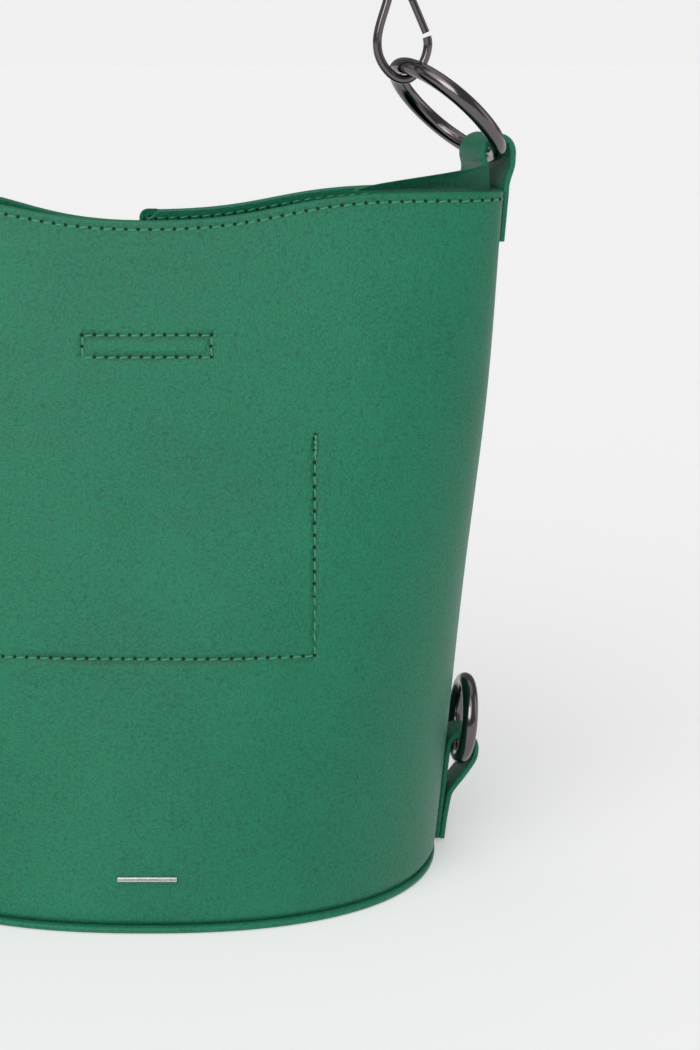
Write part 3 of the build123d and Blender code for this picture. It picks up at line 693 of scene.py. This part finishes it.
# up the wall, round (cx + r cos a, cz + r sin a) from 180 to 0 degrees, and back down to the foot
def makeLowerTab(look, side, name):
    slope = math.atan(1.25 * (body["mouthHalfWidth"] - body["baseHalfWidth"]) / body["rimSide"])
    half = look["thickMm"] / 2
    centre = look["nearMm"] + look["thickMm"] + look["hollowMm"]
    radius = look["hollowMm"] + half
    arc = np.radians(np.linspace(180, 0, 24))
    low = -look["footMm"]
    path = [(look["nearMm"] + half, low), (look["nearMm"] + half, low + 14), (look["nearMm"] + half, 0)]
    path += [(centre + radius * math.cos(a), look["stretchMm"] + radius * math.sin(a)) for a in arc]
    path += [(centre + radius, 0), (centre + radius - 3.6, -7), (look["nearMm"] + 3.6 * half, -14),
             (look["nearMm"] + 3.05 * half, low + 8), (look["nearMm"] + 3 * half, low)]
    path = softened(resample(path, 0.6), 14)
    z0 = look["pivotZ"]
    x0 = float(wallPoint(np.zeros(1), np.full(1, z0), 0.0)[0][0])
    out = (side * math.cos(slope), 0, -math.sin(slope))
    up = (side * math.sin(slope), 0, math.cos(slope))
    return makeBand(name, path, (side * x0, 0, z0), out, up, (0, 1, 0), look["widthMm"],
                    look["thickMm"], 0.65, [leather])


for side, tag in ((1, "Right"), (-1, "Left")):
    tab = makeLowerTab(lowerTab, side, "lowerTab" + tag)
    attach(tab, "bag")
    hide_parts("lower_tab_" + tag.lower())
print("lower tabs made")

# ---- closing flap ----

flap = {"widthMm": 34.0, "lengthMm": 50.0, "thickMm": 1.6, "y": -29.393, "top": 185.5}
flapPath = [(0, -t) for t in np.linspace(0, flap["lengthMm"], 60)]

flapPiece = makeBand("closingFlap", flapPath, (0, flap["y"], flap["top"]), (0, 1, 0), (0, 0, 1),
                     (1, 0, 0), flap["widthMm"], flap["thickMm"], 0.5, [leather])
co = np.empty(len(flapPiece.data.vertices) * 3)
flapPiece.data.vertices.foreach_get("co", co)
co = co.reshape(-1, 3) / mm
drop = flap["top"] - co[:, 2]
corner = 13.0
tip = np.clip(drop - (flap["lengthMm"] - corner), 0, corner)
limit = flap["widthMm"] / 2 - corner + np.sqrt(np.maximum(corner ** 2 - tip ** 2, 0))
co[:, 0] = co[:, 0] * limit / (flap["widthMm"] / 2)
flapPiece.data.vertices.foreach_set("co", (co * mm).ravel())
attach(flapPiece, "closing_flap")
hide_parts("closure_flap")

# ---- strap: two leathers sewn back to back, one closed loop round both swivel bars ----

strap = {"barX": 81.966, "barY": -4.338, "barZ": 329.567, "legMm": 220.0, "leanDeg": 6.0,
         "loopMm": 2.0, "layerMm": 1.46, "widthMm": 20.0, "pinchMm": 12.0}


def strapLine(look, step=1.5):  # middle line of the strap: up one leg, round the arch, down the other
    lean = math.radians(look["leanDeg"])
    top = np.array([look["barX"] - look["legMm"] * math.sin(lean),
                    look["barZ"] + look["legMm"] * math.cos(lean)])
    radius = top[0] / math.cos(lean)
    centre = top[1] - radius * math.sin(lean)
    leg = [(look["barX"] - s * math.sin(lean), look["barZ"] + s * math.cos(lean)) for s in np.arange(0,
            look["legMm"], step)]
    arc = [(radius * math.cos(a), centre + radius * math.sin(a)) for a in np.linspace(lean,
            math.pi - lean, 120)]
    return np.array(leg + arc + [(-x, z) for x, z in leg[::-1]])


def layerPaths(look):  # each leather lies half its thickness off the line, and opens to go round the bar
    line = resample(strapLine(look), 1.2)
    ahead = unit(np.gradient(line, axis=0))
    normal = np.stack([ahead[:, 1], -ahead[:, 0]], 1)
    run = np.concatenate([[0], np.cumsum(np.linalg.norm(np.diff(line, axis=0), axis=1))])
    fromEnd = np.minimum(run, run[-1] - run)
    radius = look["loopMm"] + look["layerMm"] / 2
    open_ = look["layerMm"] / 2 + 0.01 + (radius - look["layerMm"] / 2) * smooth(1 - fromEnd
            / look["pinchMm"])
    outer, innerSide = line + normal * open_[:, None], line - normal * open_[:, None]
    return line, normal, outer, innerSide, radius


strapMid, strapNormal, outerPath, innerPath, barRadius = layerPaths(strap)
lean = math.radians(strap["leanDeg"])
rightTurn = [(strap["barX"] + barRadius * math.cos(a),
              strap["barZ"] + barRadius * math.sin(a)) for a in np.radians(np.linspace(180 + 6,
                      360 + 6, 16))[1:-1]]
leftTurn = [(-strap["barX"] + barRadius * math.cos(a),
             strap["barZ"] + barRadius * math.sin(a)) for a in np.radians(np.linspace(174, 354, 16))[1:-1]]
loopPath = np.array(list(outerPath) + leftTurn + list(innerPath[::-1]) + rightTurn)
strapPiece = makeBand("strapBand", loopPath, (0, strap["barY"], 0), (1, 0, 0), (0, 0, 1), (0, 1, 0),
                      strap["widthMm"], strap["layerMm"], 0.5,
                      [leather], closed=True)
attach(strapPiece, "strap")
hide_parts("strap")
print("strap made")

# ---- stitches: short rounded lengths of thread, slightly sunk at both ends ----


def capsule(length, radius):  # 8 sided, ends drawn to a point: ring radii sin(t) over five rings
    rings = []
    for along, r in ((-0.5, 0.0), (-0.42, 0.75), (0.0, 1.0), (0.42, 0.75), (0.5, 0.0)):
        a = np.linspace(0, 2 * math.pi, 9)[:-1]
        sink = -0.55 * radius * (abs(along) * 2) ** 3
        rings.append(np.stack([np.full(8, along * length), np.cos(a) * r * radius,
                               np.sin(a) * r * radius * 0.8 + sink], 1))
    return np.concatenate(rings), gridQuads(5, 8, False, True)


# each stitch is turned by its slant about the outward normal
def makeStitches(name, centres, ahead, outward, look, rider):
    shape, quads = capsule(look["lengthMm"], look["threadMm"] / 2)
    slant = math.radians(look["slantDeg"])
    ahead, outward = unit(ahead), unit(outward)
    ahead = unit(ahead - outward * np.einsum("ij,ij->i", ahead, outward)[:, None])
    cross = np.cross(outward, ahead)
    along = ahead * math.cos(slant) + cross * math.sin(slant)
    across = np.cross(outward, along)
    points = centres[:, None, :] + shape[None, :, :1] * along[:, None] + shape[None, :,
            1:2] * across[:, None] + shape[None, :, 2:] * outward[:, None]
    count = len(shape)
    allQuads = (quads[None] + (np.arange(len(centres)) * count)[:, None, None]).reshape(-1, 4)
    obj = makeMesh(name, points.reshape(-1, 3) * mm, allQuads, materials=[thread])
    mergeClose(obj)
    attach(obj, rider)
    # painted shade: a dark disc sits in the needle hole between stitches
    makeHoles(name + "Holes", centres + along * look["pitchMm"] / 2, along, across, outward, look, rider)
    return obj


# a dark disc of painted shade in each gap: c + r (cos a, sin a), two rings of eight
def makeHoles(name, centres, along, across, outward, look, rider):
    a = np.linspace(0, 2 * math.pi, 9)[:-1]
    r = np.array([[0.05], [look["holeMm"]]]) * np.ones(8)
    u, v = (r * np.cos(a)).ravel(), (r * np.sin(a)).ravel()
    lift = 0.06 - look["threadMm"] * 0.14
    points = centres[:, None, :] + u[None, :, None] * along[:, None] + v[None, :, None] * across[:,
            None] + lift * outward[:, None]
    quads = (gridQuads(2, 8, False, True)[None] + (np.arange(len(centres)) * 16)[:, None,
            None]).reshape(-1, 4)
    obj = makeMesh(name, points.reshape(-1, 3) * mm, quads, materials=[needleHoleShade])
    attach(obj, rider)


# walks a line given as (x, z) and sets stitches on the wall at even steps
def stitchesOnWall(name, x, z, inset, look, front=True):
    line = resample(np.stack([x, z], 1), 0.25)
    a = angleAt(line[:, 0], line[:, 1], inset, front)
    px, py = wallPoint(a, line[:, 1], inset)
    push = slump(px, py, line[:, 1])
    points = np.stack([px, py + np.sign(py) * push * 0.98, line[:, 1]], 1)
    return stitchesAlong(name, points, look, inward=inset > 1)


# stitch k stands at (k + 0.5) / count of the run of the line
def stitchesAlong(name, points, look, inward=False, rider="bag"):
    run = np.concatenate([[0], np.cumsum(np.linalg.norm(np.diff(points, axis=0), axis=1))])
    count = max(int(round(run[-1] / look["pitchMm"])), 1)
    at = (np.arange(count) + 0.5) * run[-1] / count
    centre = np.stack([np.interp(at, run, points[:, k]) for k in range(3)], 1)
    after = np.stack([np.interp(at + 0.4, run, points[:, k]) for k in range(3)], 1)
    before = np.stack([np.interp(at - 0.4, run, points[:, k]) for k in range(3)], 1)
    outward = wallNormal(centre) * (-1 if inward else 1)
    return makeStitches(name, centre + outward * look["threadMm"] * 0.14, after - before, outward,
                        look, rider)


def wallNormal(p):  # gradient of (x/w)^n + (y/d)^n, leaned back with the wall
    s = p[:, 2] / body["rimSide"]
    w = body["baseHalfWidth"] + (body["mouthHalfWidth"] - body["baseHalfWidth"]) * (1.25 * s - 0.25 * s * s)
    d = body["baseHalfDepth"] + (body["mouthHalfDepth"] - body["baseHalfDepth"]) * s
    n = body["baseRoundness"] + (body["mouthRoundness"] - body["baseRoundness"]) * s * s
    gx = np.sign(p[:, 0]) * np.abs(p[:, 0] / w) ** (n - 1) / w
    gy = np.sign(p[:, 1]) * np.abs(p[:, 1] / d) ** (n - 1) / d
    flat = np.hypot(gx, gy)
    share = np.abs(gy) / np.maximum(flat, 1e-9)
    return unit(np.stack([gx / flat, gy / flat, share
                          * (body["baseHalfDepth"] - body["mouthHalfDepth"]) / body["rimSide"]], 1))


def ringLine(inset, below, count=2400):  # the line round the mouth a given distance under the rim
    angles = evenAngles(count, z=238.0)
    return onWall(angles, np.ones(count), np.full(count, inset), -below)


stitchesAlong("rimStitches", ringLine(0.0, stitching["rimMm"]), stitching)
stitchesAlong("rimStitchesInside", ringLine(3.75, stitching["rimMm"]), stitching, inward=True)
half, top, foot = stitching["pocketHalfMm"], stitching["pocketTopMm"], stitching["pocketFootMm"]
stitchesOnWall("pocketStitchesFoot", np.linspace(-half, half, 300), np.full(300, foot), 0.0, stitching)
for side, tag in ((1, "Right"), (-1, "Left")):
    stitchesOnWall("pocketStitches" + tag, np.full(200, side * half), np.linspace(foot, top, 200), 0.0,
                   stitching)
    stitchesOnWall("backTack" + tag, np.full(20, side * half + 0.2),
                   np.linspace(top - 5.5, top + 1.2, 20), -0.25,
                           dict(stitching, pitchMm=1.7, lengthMm=1.9, threadMm=0.95))
half, low, high = stitching["patchHalfMm"], stitching["patchLowMm"], stitching["patchHighMm"]
stitchesOnWall("patchStitchesLow", np.linspace(-half, half, 200), np.full(200, low), 0.0, stitching)
stitchesOnWall("patchStitchesHigh", np.linspace(-half, half, 200), np.full(200, high), 0.0, stitching)
for side, tag in ((1, "Right"), (-1, "Left")):
    stitchesOnWall("patchStitches" + tag, np.full(60, side * half), np.linspace(low, high, 60), 0.0,
                   stitching)


# along the strap, a set distance from its edge, on its outer or inner face
def strapStitches(name, offset, face):
    keep = slice(16, len(strapMid) - 16)
    line, normal = strapMid[keep], strapNormal[keep]
    run = np.concatenate([[0], np.cumsum(np.linalg.norm(np.diff(line, axis=0), axis=1))])
    count = int(run[-1] / stitching["pitchMm"])
    at = (np.arange(count) + 0.5) * run[-1] / count
    px, pz = np.interp(at, run, line[:, 0]), np.interp(at, run, line[:, 1])
    nx, nz = np.interp(at, run, normal[:, 0]), np.interp(at, run, normal[:, 1])
    outward = unit(np.stack([nx, 0 * nx, nz], 1)) * face
    centre = np.stack([px, 0 * px + strap["barY"] + offset, pz], 1) + outward * (strap["layerMm"] + 0.06)
    ahead = np.stack([-outward[:, 2], 0 * px, outward[:, 0]], 1)
    makeStitches(name, centre, ahead, outward, stitching, "strap")


for face, tag in ((1, "Outer"), (-1, "Inner")):
    for offset, end in ((-7.6, "Front"), (7.6, "Back")):
        strapStitches("strapStitches" + tag + end, offset, face)
print("stitches made")

# ---- CAD pieces that keep their shape get their real finish ----

finishes = {
    "dark_metal": blackNickel, "silver_metal": satinNickel, "spring_steel": springSteel,
            "board": fibreBoard,
}
for entry in frame["record"]["subparts"]:
    chosen = finishes.get(entry["material_slot"])
    node = frame["nodes"][entry["node"]]
    if chosen is not None:
        node.data.materials.clear()
        node.data.materials.append(chosen)
print("metal finished")

# ---- floor, light and camera ----

studio = {"floor": "#EDEDED", "background": "#F0F0F0", "dome": 0.24, "glow": 0.334}
# where each lies (degrees round from the front to the right, degrees up), where it is full and where it
# ends, how bright
softboxes = [
    {"name": "key", "roundDeg": -28, "upDeg": 44, "fullDeg": 16, "endDeg": 36, "bright": 1.7},
    {"name": "top", "roundDeg": 160, "upDeg": 78, "fullDeg": 14, "endDeg": 34, "bright": 0.6},
    {"name": "right", "roundDeg": 88, "upDeg": 16, "fullDeg": 9, "endDeg": 26, "bright": 0.9},
    {"name": "left", "roundDeg": -95, "upDeg": 20, "fullDeg": 8, "endDeg": 22, "bright": 0.5},
]
floorPoints = [(-40, -40, 0), (40, -40, 0), (40, 40, 0), (-40, 40, 0)]
floor = makeMesh("floor", floorPoints, [(0, 1, 2, 3)])
floorMaterial, tree = newMaterial("paperFloor")
floorShader = addNode(tree, "ShaderNodeBsdfDiffuse", Color=hexColour(studio["floor"]))
floorGlow = addNode(tree, "ShaderNodeEmission", Color=(1, 1, 1, 1), Strength=studio["glow"])
floorSum = addNode(tree, "ShaderNodeAddShader", [(0, floorShader.outputs["BSDF"]),
                                                 (1, floorGlow.outputs[0])])
addNode(tree, "ShaderNodeOutputMaterial", [("Surface", floorSum.outputs[0])])
floor.data.materials.append(floorMaterial)

world = bpy.data.worlds.new("studioWorld")
bpy.context.scene.world = world
world.use_nodes = True
tree = world.node_tree
tree.nodes.clear()


# bright * smoothstep of (d . s - cos end) / (cos full - cos end), d the way looked, s the way to the box
def softbox(tree, look):
    turn, up = math.radians(look["roundDeg"]), math.radians(look["upDeg"])
    way = (math.sin(turn) * math.cos(up), -math.cos(turn) * math.cos(up), math.sin(up))
    coords = addNode(tree, "ShaderNodeTexCoord").outputs["Generated"]
    facing = addNode(tree, "ShaderNodeVectorMath", [(0, coords)], operation="DOT_PRODUCT")
    facing.inputs[1].default_value = way
    ramp = addNode(tree, "ShaderNodeMapRange", [("Value", facing.outputs["Value"])],
                   interpolation_type="SMOOTHSTEP")
    ramp.inputs["From Min"].default_value = math.cos(math.radians(look["endDeg"]))
    ramp.inputs["From Max"].default_value = math.cos(math.radians(look["fullDeg"]))
    ramp.inputs["To Max"].default_value = look["bright"]
    return ramp.outputs["Result"]


rays = addNode(tree, "ShaderNodeLightPath")
level = studio["dome"]
for look in softboxes:
    level = mathNode(tree, "ADD", softbox(tree, look), level)
light = addNode(tree, "ShaderNodeBackground", [("Strength", level)], Color=(1, 1, 1, 1))
seen = addNode(tree, "ShaderNodeBackground", Color=hexColour(studio["background"]), Strength=1.0)
mix = addNode(tree, "ShaderNodeMixShader", [(0, rays.outputs["Is Camera Ray"])])
tree.links.new(light.outputs[0], mix.inputs[1])
tree.links.new(seen.outputs[0], mix.inputs[2])
addNode(tree, "ShaderNodeOutputWorld", [("Surface", mix.outputs[0])])

lamp = {"place": (-0.22, -0.78, 0.6), "aim": (0, 0, 0.2), "sizeM": 0.5, "power": 2.6}
lampData = bpy.data.lights.new("frontLamp", "AREA")
lampData.size, lampData.energy = lamp["sizeM"], lamp["power"]
frontLamp = bpy.data.objects.new("frontLamp", lampData)
bpy.context.scene.collection.objects.link(frontLamp)
frontLamp.location = lamp["place"]
frontLamp.rotation_euler = (Vector(lamp["aim"]) - Vector(lamp["place"])).to_track_quat("-Z", "Y").to_euler()
notLit = bpy.data.collections.new("frontLampSkips")  # the paper floor stays evenly lit
notLit.objects.link(floor)
frontLamp.light_linking.receiver_collection = notLit
notLit.collection_objects[0].light_linking.link_state = "EXCLUDE"

camera = bpy.data.objects.new("camera", bpy.data.cameras.new("camera"))
bpy.context.scene.collection.objects.link(camera)
bpy.context.scene.camera = camera
view = {"distance": 0.65, "height": 0.287, "pitchDeg": 14.35, "focal": 63.5, "shift": 0.1933}
camera.location = (0, -view["distance"], view["height"])
camera.rotation_euler = (math.radians(90 - view["pitchDeg"]), 0, 0)
camera.data.sensor_width = 36
camera.data.lens = view["focal"]
camera.data.shift_x = view["shift"]
camera.data.clip_start = 0.01
bpy.context.scene.view_settings.view_transform = "Standard"
print("studio ready")
